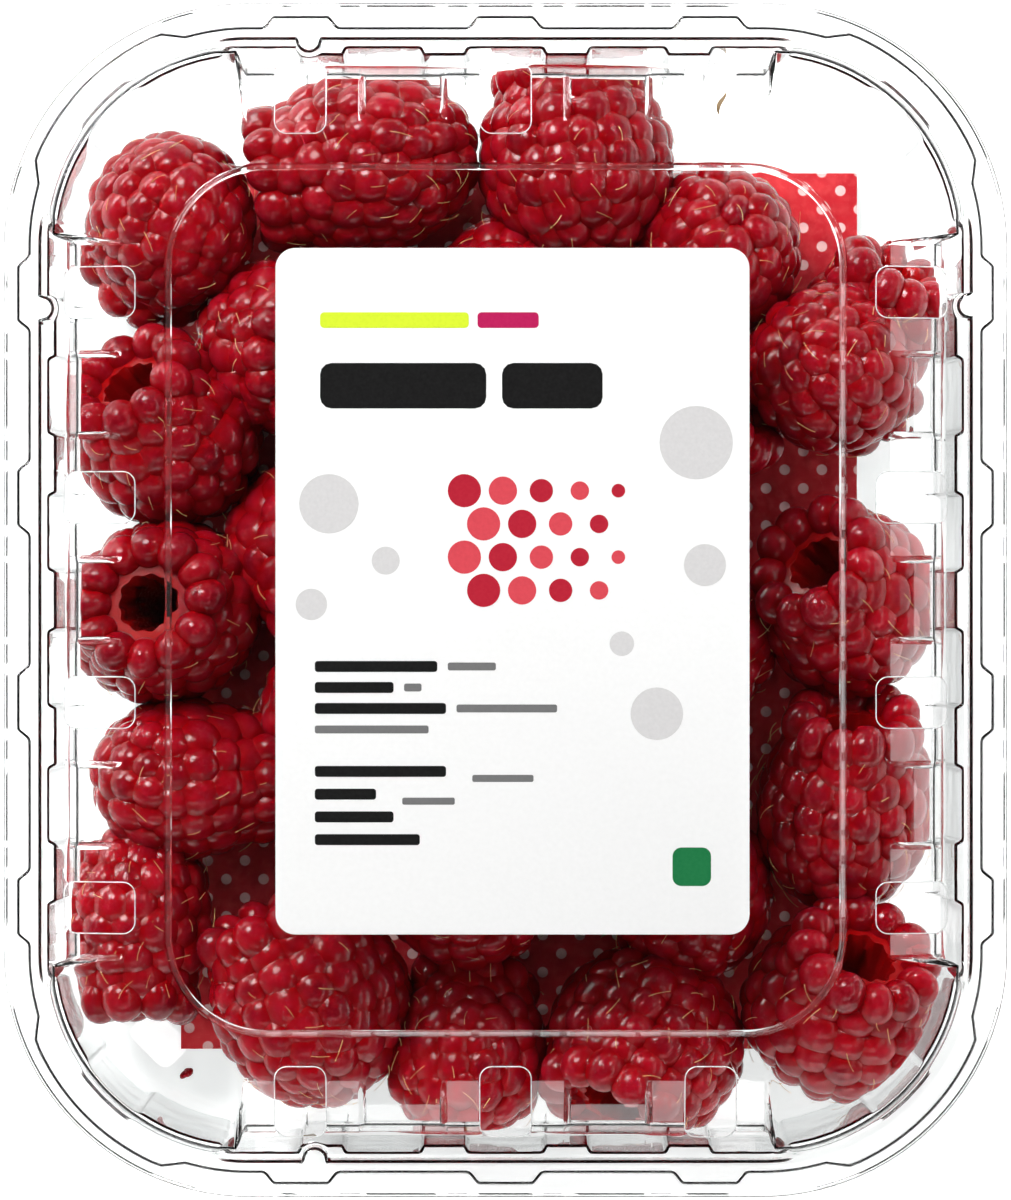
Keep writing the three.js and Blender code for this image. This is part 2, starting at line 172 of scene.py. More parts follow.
def mesh_object(name, verts, faces, material=None):
    """An object at the origin from points in millimetres."""
    mesh = bpy.data.meshes.new(name)
    mesh.from_pydata((np.asarray(verts, dtype=float) * MM).tolist(), [], faces)
    mesh.update()
    piece = bpy.data.objects.new(name, mesh)
    bpy.context.scene.collection.objects.link(piece)
    if material:
        mesh.materials.append(material)
    return piece


def points_of(mesh):
    """A mesh's points in millimetres."""
    points = np.empty(len(mesh.vertices) * 3)
    mesh.vertices.foreach_get("co", points)
    return points.reshape(-1, 3) / MM


def set_look(mesh, values):
    """Stores dome, tone, hollow and 1 for every point, which the skin's colours need."""
    layer = mesh.color_attributes.new("look", "FLOAT_COLOR", "POINT")
    layer.data.foreach_set("color", values.astype(np.float32).ravel())


def apply_modifiers(piece):
    """Turns a piece's modifiers into its mesh."""
    graph = bpy.context.evaluated_depsgraph_get()
    done = bpy.data.meshes.new_from_object(
        piece.evaluated_get(graph), preserve_all_data_layers=True, depsgraph=graph
    )
    piece.modifiers.clear()
    old, piece.data = piece.data, done
    done.name = piece.name
    bpy.data.meshes.remove(old)


def boolean(piece, operation, *others):
    """Joins or cuts a piece with others, which are used up."""
    for other in others:
        modifier = piece.modifiers.new("boolean", "BOOLEAN")
        modifier.operation = operation
        modifier.solver = "MANIFOLD"
        modifier.object = other
    apply_modifiers(piece)
    for other in others:
        mesh = other.data
        bpy.data.objects.remove(other)
        bpy.data.meshes.remove(mesh)


def smooth(piece, sharp_degrees=35, by_area=False):
    """Smooth shading, with edges sharper than an angle kept, and flat faces kept flat if by_area."""
    mesh = piece.data
    mesh.polygons.foreach_set("use_smooth", [True] * len(mesh.polygons))
    mesh.set_sharp_from_angle(angle=math.radians(sharp_degrees))
    if by_area:
        modifier = piece.modifiers.new("flats", "WEIGHTED_NORMAL")
        modifier.mode = "FACE_AREA"
        modifier.weight = 80
        modifier.keep_sharp = True
        apply_modifiers(piece)


def round_edges(piece, width):
    """Rounds the cut edges of a thin sheet."""
    edge = piece.modifiers.new("edge", "BEVEL")
    edge.width = width * MM
    edge.segments = 2
    edge.limit_method = "ANGLE"
    edge.angle_limit = math.radians(60)
    apply_modifiers(piece)


def dress(piece, material):
    """Gives the whole piece one material."""
    piece.data.materials.clear()
    piece.data.materials.append(material)
    piece.data.polygons.foreach_set("material_index", [0] * len(piece.data.polygons))


def joined_parts(parts):
    """Points and faces of several (points, faces) parts as one."""
    verts, faces, start = [], [], 0
    for part_verts, part_faces in parts:
        verts.append(np.asarray(part_verts, dtype=float))
        faces += [tuple(start + i for i in face) for face in part_faces]
        start += len(part_verts)
    return np.concatenate(verts), faces


def prism(outline, bottom, top):
    """A closed plate over a counterclockwise outline."""
    n = len(outline)
    flat = np.asarray(outline, dtype=float)
    verts = np.concatenate([np.c_[flat, np.full(n, bottom)], np.c_[flat, np.full(n, top)]])
    sides = [(i, (i + 1) % n, n + (i + 1) % n, n + i) for i in range(n)]
    return verts, [tuple(range(n - 1, -1, -1)), tuple(range(n, 2 * n)), *sides]


def unit(vectors):
    return vectors / np.linalg.norm(vectors, axis=-1, keepdims=True)


def ring_faces(rings, sides, closed=False):
    """Faces between rings of points, with a cap on both ends unless the last ring meets the first."""
    faces = [
        (r * sides + k, r * sides + (k + 1) % sides,
         (r + 1) % rings * sides + (k + 1) % sides, (r + 1) % rings * sides + k)
        for r in range(rings if closed else rings - 1) for k in range(sides)
    ]
    if not closed:
        last = (rings - 1) * sides
        faces += [tuple(range(sides - 1, -1, -1)), tuple(range(last, last + sides))]
    return faces


def closed_tube(path, radius, sides):
    """A round tube along a closed path."""
    ahead = unit(np.roll(path, -1, axis=0) - np.roll(path, 1, axis=0))
    sideways = unit(np.cross(ahead, [0, 0, 1]))
    above = np.cross(sideways, ahead)
    turns = np.arange(sides) * 2 * math.pi / sides
    rings = path[:, None] + radius * (
        np.cos(turns)[None, :, None] * sideways[:, None] + np.sin(turns)[None, :, None] * above[:, None]
    )
    return rings.reshape(-1, 3), ring_faces(len(path), sides, closed=True)


def rounded_rectangle(x, y, width, length, radius, steps=6, turn=0.0):
    """A rounded rectangle's outline round (x, y), turned by an angle in radians."""
    points = []
    for quarter, (sx, sy) in enumerate([(1, 1), (-1, 1), (-1, -1), (1, -1)]):
        for step in range(steps + 1):
            angle = (quarter + step / steps) * math.pi / 2
            px = sx * (width / 2 - radius) + radius * math.cos(angle)
            py = sy * (length / 2 - radius) + radius * math.sin(angle)
            points.append((px, py))
    flat = np.array(points)
    cos, sin = math.cos(turn), math.sin(turn)
    return np.c_[flat[:, 0] * cos - flat[:, 1] * sin + x, flat[:, 0] * sin + flat[:, 1] * cos + y]


# The pack's outline

def smoothstep(value):
    value = np.clip(value, 0, 1)
    return value * value * (3 - 2 * value)


def reach(side, half_width, half_length):
    return np.where(side % 2 == 1, half_length, half_width)


HALF_STRAIGHT = [LENGTH / 2 - CORNER_RADIUS, WIDTH / 2 - CORNER_RADIUS] * 2


def centres(count, pitch):
    return [(i - (count - 1) / 2) * pitch for i in range(count)]


def bump(t, middles, half_width, ramp):
    """1 on a feature that is centred on each of the middles, 0 away from it, smooth between."""
    nearest = np.min([np.abs(t - c) for c in middles], axis=0)
    return smoothstep((half_width + ramp - nearest) / ramp)


def ramp_marks(middles, half_width, ramp, steps=6):
    """Places along a side where the two ramps of each feature bend."""
    shares = np.linspace(0, 1, steps + 1) * ramp + half_width
    return [c + sign * share for c in middles for sign in (-1, 1) for share in shares]


class Stations:
    """Places round the outline: along the straights by t, round the corners by angle."""

    def __init__(self, side_marks, corner_marks, coarse=4.0):
        rows = []
        for side in range(4):
            half = HALF_STRAIGHT[side]
            spread = np.linspace(-half, half, int(2 * half / coarse) + 1)
            marks = np.array([m for m in side_marks[side] if abs(m) < half - 0.05])
            keep = [s for s in spread if not len(marks) or np.min(np.abs(marks - s)) > 0.6]
            for t in np.unique(np.round(np.concatenate([marks, keep]), 4)):
                rows.append((side, t / half, t, 0.0, -(half - abs(t))))
            for angle in corner_marks:
                depth = math.radians(min(angle, 90 - angle)) * (CORNER_RADIUS - 6)
                rows.append((side, 1.0, half, angle, depth))
        table = np.array(rows)
        self.side = table[:, 0:1]
        self.along = table[:, 1:2]
        self.t = table[:, 2:3]
        self.angle = table[:, 3:4]
        self.into_corner = table[:, 4:5]
        self.corner = self.angle > 0

    def per_side(self, function):
        """A value for every station, worked out for its side's number and its t."""
        values = np.zeros_like(self.t)
        for side in range(4):
            here = self.side == side
            values[here] = function(side, self.t[here])
        return values

    def points(self, inset, radius=None):
        """x and y on the outline drawn in by inset, for every station and inset."""
        radius = CORNER_RADIUS - inset if radius is None else radius
        half_width = WIDTH / 2 - inset
        half_length = LENGTH / 2 - inset
        facing = self.side * math.pi / 2
        turned = facing + np.radians(self.angle)
        out = reach(self.side, half_width, half_length) - radius
        sideways = (reach(self.side + 1, half_width, half_length) - radius) * self.along
        x = out * np.cos(facing) - sideways * np.sin(facing) + radius * np.cos(turned)
        y = out * np.sin(facing) + sideways * np.cos(facing) + radius * np.sin(turned)
        return x, y


def rounded_profile(insets, heights, radii, roundings, steps=4):
    """Control points (stations, corners) with every inner corner turned into a small curve."""
    controls = np.array([insets, heights, radii])
    columns = [controls[:, :, 0]]
    for i in range(1, insets.shape[1] - 1):
        here = controls[:, :, i]
        ends = []
        for j in (i - 1, i + 1):
            away = controls[:, :, j] - here
            length = np.hypot(away[0], away[1])
            ends.append(here + away * np.minimum(roundings[i] / np.maximum(length, 1e-6), 0.42))
        for share in np.linspace(0, 1, steps):
            columns.append((1 - share) ** 2 * ends[0] + 2 * share * (1 - share) * here + share**2 * ends[1])
    columns.append(controls[:, :, -1])
    return np.stack(columns, axis=-1)


def formed_sheet(name, stations, insets, heights, radii, roundings):
    """A thin closed sheet whose upper surface has the given profile at every station."""
    insets, heights, radii = rounded_profile(insets, heights, radii, roundings)
    x, y = stations.points(insets, radii)
    upper = np.stack([x, y, heights], axis=-1)
    along = np.roll(upper, -1, axis=0) - np.roll(upper, 1, axis=0)
    across = np.gradient(upper, axis=1)
    lower = upper - unit(np.cross(across, along)) * SHEET
    rows, columns = upper.shape[:2]
    verts = np.concatenate([upper.reshape(-1, 3), lower.reshape(-1, 3)])
    below = rows * columns
    faces = []
    for i in range(rows):
        k = (i + 1) % rows
        for j in range(columns - 1):
            a, b, c, d = (i * columns + j, i * columns + j + 1, k * columns + j + 1, k * columns + j)
            faces.append((a, b, c, d))
            faces.append((below + d, below + c, below + b, below + a))
        a, d = i * columns + columns - 1, k * columns + columns - 1
        faces.append((a, below + a, below + d, d))
    inner = [i * columns for i in range(rows)]
    faces.append(tuple(inner))
    faces.append(tuple(below + i for i in reversed(inner)))
    return mesh_object(name, verts, faces)


def side_outline(side, t, inset, size, radius, angle=0.0):
    """A rounded outline across a side: its first size runs along the side, its second across it."""
    facing = side * math.pi / 2
    turned = facing + math.radians(angle)
    reach_out = (WIDTH, LENGTH)[side % 2] / 2 - CORNER_RADIUS
    arc = CORNER_RADIUS - inset
    x = reach_out * math.cos(facing) - t * math.sin(facing) + arc * math.cos(turned)
    y = reach_out * math.sin(facing) + t * math.cos(facing) + arc * math.sin(turned)
    return rounded_rectangle(x, y, size[1], size[0], radius, turn=turned)


# Lid

def vent_centres(side):
    return centres(3 if side % 2 else 4, PITCH)


def lug_centres(side):
    return centres(2 if side % 2 else 3, PITCH)


def all_vents():
    return [(side, t) for side in range(4) for t in vent_centres(side)]


def vent_outline(side, t):
    return side_outline(side, t, VENT_MIDDLE_INSET, VENT_SIZE, VENT_RADIUS)


def recess_height(inset):
    """Height of the lid's upper surface at an inset, where a vent lies."""
    rows = sorted([(FOLD_INSET + 2, 0.0), (FOLD_INSET, 0.0), *RECESS])
    heights = [LEDGE_Z if drop is None else LID_TOP_Z + drop for _, drop in rows]
    return np.interp(inset, [row[0] for row in rows], heights)


def lid_stations():
    marks = {}
    for side in range(4):
        nub = [NUBS[side] + NUB_RADIUS * math.sin(a) for a in np.linspace(-1.57, 1.57, 13)]
        marks[side] = [
            *ramp_marks(vent_centres(side), BUMP_HALF_WIDTH, BUMP_RAMP),
            *ramp_marks(lug_centres(side), LUG_HALF_WIDTH, LUG_DRAFT),
            *nub,
        ]
    near_end = list(np.arange(0.6, 12.5, 0.85))
    middle = list(np.linspace(14, 76, 24))
    return Stations(marks, near_end + middle + [90 - a for a in reversed(near_end)])


def blend_shoulder(stations):
    """Insets and heights of the shoulder's control points: recess, lug or corner."""
    def section(rows):
        insets = np.array([inset for inset, _ in rows])
        heights = np.array([LEDGE_Z if drop is None else LID_TOP_Z + drop for _, drop in rows])
        return insets, heights

    lug = stations.per_side(lambda side, t: bump(t, lug_centres(side), LUG_HALF_WIDTH, LUG_DRAFT))
    lug[stations.corner] = 0
    starts = np.array([0.0, 0.1, 0.6, 1.0])
    lengths = np.array([0.9, 1.2, 3.2, 3.6])
    corner = smoothstep((stations.into_corner - starts) / lengths)
    insets, heights = section(RECESS)
    for rows, weight in ((LUG, lug), (CORNER, corner)):
        other_insets, other_heights = section(rows)
        insets = insets + (other_insets - insets) * weight
        heights = heights + (other_heights - heights) * weight
    return insets, heights


def nub_dip(stations):
    """How far the rib's inner wall dips inwards at the small half-round nubs."""
    def dip(side, t):
        return np.sqrt(np.maximum(NUB_RADIUS**2 - (t - NUBS[side]) ** 2, 0))

    dips = stations.per_side(dip)
    dips[stations.corner] = 0
    return dips


def make_lid(material):
    stations = lid_stations()
    count = len(stations.t)
    shoulder_insets, shoulder_heights = blend_shoulder(stations)
    out = stations.per_side(lambda side, t: bump(t, vent_centres(side), BUMP_HALF_WIDTH, BUMP_RAMP))
    middle, half, ramp = CORNER_BUMP
    out = np.where(stations.corner, bump(stations.angle, [middle], half, ramp), out)
    skirt = SKIRT_IN + (SKIRT_OUT - SKIRT_IN) * out
    dip = nub_dip(stations)

    def column(value):
        return np.full((count, 1), value) + 0.0

    insets = np.hstack([
        column(PANEL_INSET + 0.4), column(PANEL_INSET), column(PANEL_FOOT_INSET), column(FOLD_INSET),
        shoulder_insets[:, :3], shoulder_insets[:, 3:] + dip,
        column(RIB_INNER_INSET) + dip, skirt, skirt - SKIRT_DRAFT, column(0.42), column(0.0),
    ])
    heights = np.hstack([
        column(PANEL_Z), column(PANEL_Z), column(LID_TOP_Z), column(LID_TOP_Z),
        shoulder_heights, column(RIB_Z), column(RIB_Z), column(SKIRT_FOOT_Z), column(SKIRT_FOOT_Z),
        column(LIP_Z),
    ])
    radii = CORNER_RADIUS - insets
    radii[:, :2] = PANEL_RADIUS
    radii[:, 2] = PANEL_RADIUS + PANEL_INSET - PANEL_FOOT_INSET
    roundings = [0.0, RING_ROUNDING, RING_ROUNDING] + [0.5] * (insets.shape[1] - 3)
    lid = formed_sheet("lid_shell", stations, insets, heights, radii, roundings)
    cutters = [prism(vent_outline(side, t), LEDGE_Z - 3, LID_TOP_Z + 2) for side, t in all_vents()]
    boolean(lid, "DIFFERENCE", mesh_object("cutter", *joined_parts(cutters)))
    round_edges(lid, 0.13)
    smooth(lid, 40, by_area=True)
    dress(lid, material)
    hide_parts("lid")
    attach(lid, "root")


def make_vent_edges(material):
    """The vents' cut edges: a fine frosted bead round every opening."""
    rings = []
    for side, t in all_vents():
        plan = vent_outline(side, t)
        outline = np.concatenate([
            np.linspace(a, b, max(2, int(np.hypot(*(b - a)) / 0.4)), endpoint=False)
            for a, b in zip(plan, np.roll(plan, -1, axis=0))
        ])
        facing = side * math.pi / 2
        outward = outline @ [math.cos(facing), math.sin(facing)]
        heights = recess_height((WIDTH, LENGTH)[side % 2] / 2 - outward) - SHEET / 2
        rings.append(closed_tube(np.c_[outline, heights], VENT_EDGE_RADIUS, 6))
    edges = mesh_object("lid_vent_edges", *joined_parts(rings), material)
    smooth(edges, 80)
    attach(edges, "root")


# Tray

def tray_stations():
    marks = {}
    for side in range(4):
        count, pitch, half = SHORT_FLUTES if side % 2 else LONG_FLUTES
        marks[side] = ramp_marks(centres(count, pitch), half, FLUTE_RAMP, 4)
    corner = set(np.linspace(3, 87, 15))
    for middle, half, ramp in CORNER_FLUTES:
        corner |= set(ramp_marks([middle], half, ramp, 4))
    return Stations(marks, sorted(corner))


def flute_at(stations):
    def straight(side, t):
        count, pitch, half = SHORT_FLUTES if side % 2 else LONG_FLUTES
        return bump(t, centres(count, pitch), half, FLUTE_RAMP)

    flute = stations.per_side(straight)
    round_corner = sum(bump(stations.angle, [m], h, r) for m, h, r in CORNER_FLUTES)
    return np.where(stations.corner, round_corner, flute) * FLUTE_DEPTH


def tray_slots():
    slots = []
    for side in range(4):
        end = HALF_STRAIGHT[side]
        slots.append(side_outline(side, end, CORNER_SLOT_INSET, (6.4, 4.4), 1.2, angle=45))
        for t in (2.7 - end, end - 2.7):
            slots.append(side_outline(side, t, END_SLOT_INSET, (5.4, 4.2), 1.2))
    return [prism(slot, -2, 2.2) for slot in slots]


def make_tray(material):
    stations = tray_stations()
    flute = flute_at(stations)
    plain = np.zeros_like(flute)
    controls = [
        (FLOOR_PANEL_INSET + 0.5, FLOOR_PANEL_Z, 0), (FLOOR_PANEL_INSET, FLOOR_PANEL_Z, 0),
        (FLOOR_PANEL_INSET - 0.7, FLOOR_Z, 0), (7.9, FLOOR_Z, 1), (6.6, 1.9, 1),
        (5.4, TRAY_RIM_Z, 1), (3.85, TRAY_RIM_Z, 0),
    ]
    insets = np.hstack([plain + inset + flute * fluted for inset, _, fluted in controls])
    heights = np.hstack([plain + height for _, height, _ in controls])
    roundings = [0.6] * insets.shape[1]
    tray = formed_sheet("tray_shell", stations, insets, heights, CORNER_RADIUS - insets, roundings)
    boolean(tray, "DIFFERENCE", mesh_object("cutter", *joined_parts(tray_slots())))
    smooth(tray, 40, by_area=True)
    dress(tray, material)
    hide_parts("tray")
    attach(tray, "root")


# Materials

class Nodes:
    """A short way to build the nodes of a material, or of the world."""

    def __init__(self, name, kind="Material"):
        self.owner = (bpy.data.worlds if kind == "World" else bpy.data.materials).new(name)
        self.owner.use_nodes = True
        self.tree = self.owner.node_tree
        self.tree.nodes.clear()
        self.output = self.tree.nodes.new("ShaderNodeOutput" + kind)

    def add(self, kind, inputs=None, **settings):
        node = self.tree.nodes.new(kind)
        for key, value in settings.items():
            setattr(node, key, value)
        for key, value in (inputs or {}).items():
            if isinstance(value, bpy.types.NodeSocket):
                self.tree.links.new(value, node.inputs[key])
            else:
                node.inputs[key].default_value = value
        return node

    def math(self, operation, a, b=0.0, c=0.0):
        return self.add("ShaderNodeMath", {0: a, 1: b, 2: c}, operation=operation).outputs[0]

    def mix(self, share, a, b):
        return self.add("ShaderNodeMix", {0: share, 6: a, 7: b}, data_type="RGBA").outputs[2]

    def noise(self, scale, detail=3.0, vector=None, roughness=0.5):
        inputs = {"Scale": scale, "Detail": detail, "Roughness": roughness}
        inputs["Vector"] = vector or self.place()
        return self.add("ShaderNodeTexNoise", inputs).outputs[0]

    def place(self):
        return self.add("ShaderNodeTexCoord").outputs["Object"]

    def ramp(self, value, low, high, to_low=0.0, to_high=1.0):
        inputs = {0: value, 1: low, 2: high, 3: to_low, 4: to_high}
        return self.add("ShaderNodeMapRange", inputs).outputs[0]

    def bump(self, height, strength, distance):
        inputs = {"Height": height, "Strength": strength, "Distance": distance}
        return self.add("ShaderNodeBump", inputs).outputs[0]

    def finish(self, shader):
        self.tree.links.new(shader, self.output.inputs["Surface"])
        return self.owner

    def surface(self, inputs):
        """Ends the material in one Principled shader."""
        return self.finish(self.add("ShaderNodeBsdfPrincipled", inputs).outputs[0])


def clear_plastic(name, shade):
    """Clear formed plastic: faint ripples, painted grey shade where the sheet is seen edge-on, and its shadow
    lets the light through.
    """
    n = Nodes(name)
    ripple = n.noise(140.0, 1.0)
    # Painted shade: the sheet is coloured greyer the more edge-on it is seen, standing in for the grey
    # shading at its bends.
    edge_on = n.add("ShaderNodeLayerWeight", {"Blend": 0.5}).outputs["Facing"]
    tint = n.mix(n.ramp(edge_on, 0.55, 1.0), (0.985, 0.995, 0.992, 1), (0.86, 0.89, 0.89, 1))
    glass = n.add("ShaderNodeBsdfPrincipled", {
        "Base Color": tint, "Roughness": 0.02, "IOR": 1.5,
        "Transmission Weight": 1.0, "Normal": n.bump(ripple, 0.04, 0.0006),
    })
    thin = n.add("ShaderNodeBsdfTransparent", {"Color": (shade, shade, shade, 1)})
    shadow = n.add("ShaderNodeLightPath").outputs["Is Shadow Ray"]
    mix = n.add("ShaderNodeMixShader", {0: shadow, 1: glass.outputs[0], 2: thin.outputs[0]})
    return n.finish(mix.outputs[0])


def paper():
    n = Nodes("label_paper")
    fibre = n.noise(1800.0, 4.0)
    tint = n.mix(fibre, (0.9, 0.9, 0.895, 1), (0.96, 0.96, 0.955, 1))
    return n.surface({
        "Base Color": tint, "Roughness": n.ramp(fibre, 0.3, 0.7, 0.45, 0.6),
        "Normal": n.bump(fibre, 0.08, 0.0002),
    })


def ink(name, colour):
    n = Nodes(name)
    grain = n.noise(2600.0, 2.0)
    pale = tuple(min(1.0, c * 1.15 + 0.01) for c in colour) + (1,)
    return n.surface({
        "Base Color": n.mix(grain, colour + (1,), pale), "Roughness": n.ramp(grain, 0.3, 0.7, 0.6, 0.75),
        "Specular IOR Level": 0.04,
    })


DOT_PITCH = 4.4
DOT_RADIUS = 0.66


def pad_material():
    """Soaked nonwoven with a quincunx of pale pressed dots."""
    n = Nodes("absorbent_pad")
    place = n.place()
    split = n.add("ShaderNodeSeparateXYZ", {0: place})

    def offset(axis, shift):
        cells = n.math("ADD", n.math("DIVIDE", split.outputs[axis], DOT_PITCH * MM), shift)
        return n.math("SUBTRACT", n.math("FRACT", cells), 0.5)

    def dots(shift):
        x, y = offset(0, shift), offset(1, shift)
        squared = n.math("ADD", n.math("MULTIPLY", x, x), n.math("MULTIPLY", y, y))
        return n.math("SQRT", squared)

    nearest = n.math("MINIMUM", dots(0.0), dots(0.5))
    dot = n.ramp(nearest, DOT_RADIUS / DOT_PITCH, DOT_RADIUS / DOT_PITCH - 0.02)
    fibre = n.noise(900.0, 3.0)
    soak = n.noise(60.0, 3.0)
    red = n.mix(n.ramp(soak, 0.35, 0.65), (0.40, 0.003, 0.012, 1), (0.60, 0.018, 0.026, 1))
    red = n.mix(n.ramp(fibre, 0.45, 0.75, 0.0, 0.35), red, (0.72, 0.09, 0.09, 1))
    pink = n.mix(fibre, (0.72, 0.36, 0.36, 1), (0.86, 0.58, 0.56, 1))
    return n.surface({
        "Base Color": n.mix(dot, red, pink), "Roughness": n.ramp(fibre, 0.3, 0.7, 0.45, 0.75),
        "Specular IOR Level": 0.2, "Normal": n.bump(fibre, 0.3, 0.0002),
    })


def berry_material():
    """Raspberry skin, with painted light: creases a more saturated red for light glowing through, and the
    hollow painted darker the deeper it goes. The look attribute holds: dome (0 in a crease), tone and hollow.
    """
    n = Nodes("raspberry_skin")
    look = n.add("ShaderNodeAttribute", attribute_name="look").outputs["Color"]
    split = n.add("ShaderNodeSeparateColor", {0: look})
    dome, tone, hollow = split.outputs[0], split.outputs[1], split.outputs[2]
    speckle = n.noise(3200.0, 2.0, roughness=0.7)
    mottle = n.noise(700.0, 1.0)
    ripe = n.mix(tone, (0.13, 0.0006, 0.0045, 1), (0.26, 0.002, 0.009, 1))
    # Painted light: the creases get a more saturated red, standing in for light glowing through the
    # translucent drupelets.
    deep = n.mix(n.ramp(dome, 0.0, 0.5), (0.20, 0.0002, 0.0012, 1), ripe)
    blush = n.mix(n.ramp(mottle, 0.45, 0.75, 0.0, 0.3), deep, (0.30, 0.004, 0.011, 1))
    bloom_share = n.math("MULTIPLY", n.ramp(speckle, 0.5, 0.75, 0.0, 0.32), n.ramp(dome, 0.2, 0.8))
    skin = n.mix(bloom_share, blush, (0.36, 0.06, 0.08, 1))
    # Painted shade: the hollow's wall is painted darker the deeper it goes.
    inner = n.mix(hollow, (0.28, 0.0015, 0.002, 1), (0.04, 0.0002, 0.0008, 1))
    colour = n.mix(n.ramp(hollow, 0.0, 0.02), skin, inner)
    return n.surface({
        "Base Color": colour,
        "Roughness": n.math("ADD", n.ramp(speckle, 0.35, 0.7, 0.07, 0.18), n.math("MULTIPLY", hollow, 0.2)),
        "IOR": 1.42,
        "Subsurface Weight": 0.4,
        "Subsurface Radius": (3.2, 0.4, 0.35),
        "Subsurface Scale": 0.0008,
        "Normal": n.bump(speckle, 0.3, 0.0001),
    })


def scrap_material():
    n = Nodes("dry_scrap")
    place = n.noise(120.0, 2.0)
    return n.surface({
        "Base Color": n.mix(n.ramp(place, 0.4, 0.6), (0.07, 0.035, 0.015, 1), (0.34, 0.22, 0.08, 1)),
        "Roughness": 0.6,
    })


def cut_edge_material():
    """The frosted cut edge of clear plastic."""
    n = Nodes("cut_edge")
    grain = n.noise(900.0, 2.0)
    return n.surface({
        "Base Color": n.mix(grain, (0.80, 0.83, 0.83, 1), (0.92, 0.94, 0.94, 1)),
        "Roughness": n.ramp(grain, 0.3, 0.7, 0.25, 0.4), "IOR": 1.5, "Transmission Weight": 0.5,
    })


def hair_material():
    n = Nodes("raspberry_hair")
    shade = n.noise(500.0, 2.0)
    return n.surface({
        "Base Color": n.mix(shade, (0.42, 0.17, 0.05, 1), (0.72, 0.45, 0.18, 1)), "Roughness": 0.4,
    })


def floor_material():
    n = Nodes("studio_floor")
    grain = n.noise(30.0, 2.0)
    return n.surface({
        "Base Color": n.mix(grain, (0.93, 0.93, 0.93, 1), (0.95, 0.95, 0.95, 1)), "Roughness": 0.8,
        "Emission Color": (1, 1, 1, 1), "Emission Strength": 0.6,
    })


# Label and pad

def make_label(material):
    width, length, _ = LABEL_HIGH - LABEL_LOW
    outline = rounded_rectangle(*LABEL_MIDDLE, width, length, LABEL_RADIUS, 12)
    label = mesh_object("label_sheet", *prism(outline, LABEL_LOW[2], LABEL_HIGH[2]), material)
    round_edges(label, 0.04)
    smooth(label, 50)
    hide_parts("label")
    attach(label, "root")


INK_THICKNESS = 0.02
INK_SINK = 0.005  # how far the ink reaches into the paper


def print_on_label(name, outlines, material):
    """Plain printed shapes, from outlines measured from the label's middle."""
    bottom = LABEL_HIGH[2] - INK_SINK
    parts = [prism(outline + LABEL_MIDDLE, bottom, bottom + INK_SINK + INK_THICKNESS) for outline in outlines]
    piece = mesh_object(name, *joined_parts(parts), material)
    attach(piece, "root")


def disc(x, y, radius, steps=32):
    angles = np.linspace(0, 2 * math.pi, steps, endpoint=False)
    return np.c_[x + radius * np.cos(angles), y + radius * np.sin(angles)]


def bar(left, y, width, height):
    return rounded_rectangle(left + width / 2, y, width, height, min(height, width) * 0.25, 3)


def print_label():
    """Plain fields: a banded rule, solid heading blocks, a field of dots and lines of bars."""
    print_on_label("print_lime", [bar(-22, 31, 17, 1.8)], ink("ink_lime", (0.62, 0.78, 0.03)))
    print_on_label("print_magenta", [bar(-4, 31, 7, 1.8)], ink("ink_magenta", (0.45, 0.01, 0.09)))
    heading = [bar(-22, 23.5, 19, 5.2), bar(-1.2, 23.5, 11.5, 5.2)]
    lines = [(-8.6, 14), (-11.0, 9), (-13.4, 15), (-20.6, 15), (-23.2, 7), (-25.8, 9), (-28.4, 12)]
    bold = [bar(-22.6, y, width, 1.25) for y, width in lines]
    print_on_label("print_black", heading + bold, ink("ink_black", (0.006, 0.006, 0.006)))
    light = [bar(-7.4, -8.6, 5.5, 0.9), bar(-12.4, -11.0, 2.0, 0.9), bar(-6.4, -13.4, 11.5, 0.9),
             bar(-22.6, -15.8, 13.0, 0.9), bar(-4.6, -21.4, 7.0, 0.8), bar(-12.6, -24.0, 6.0, 0.8)]
    print_on_label("print_grey", light, ink("ink_grey", (0.16, 0.16, 0.16)))
    seal = rounded_rectangle(20.5, -31.5, 4.4, 4.4, 1.0)
    print_on_label("print_green", [seal], ink("ink_green", (0.01, 0.16, 0.05)))
    pale = [disc(x, y, r) for x, y, r in ((-21, 10, 3.4), (-14.5, 3.5, 1.6), (21, 17, 4.2), (22, 3, 2.4),
                                          (12.5, -6, 1.4), (-23, -1.5, 1.8), (16.5, -14, 3.0))]
    print_on_label("print_pale", pale, ink("ink_pale", (0.60, 0.59, 0.59)))
    rows = [(0, 5), (1, 4), (2, 5), (3, 4)]
    dots = [
        disc(-5.5 + 4.4 * i + 2.2 * (row % 2), 11.5 - 3.8 * row, 1.9 - 0.28 * i)
        for row, count in rows for i in range(count)
    ]
    print_on_label("print_red", dots[::2], ink("ink_red", (0.42, 0.012, 0.03)))
    print_on_label("print_rose", dots[1::2], ink("ink_rose", (0.62, 0.06, 0.08)))


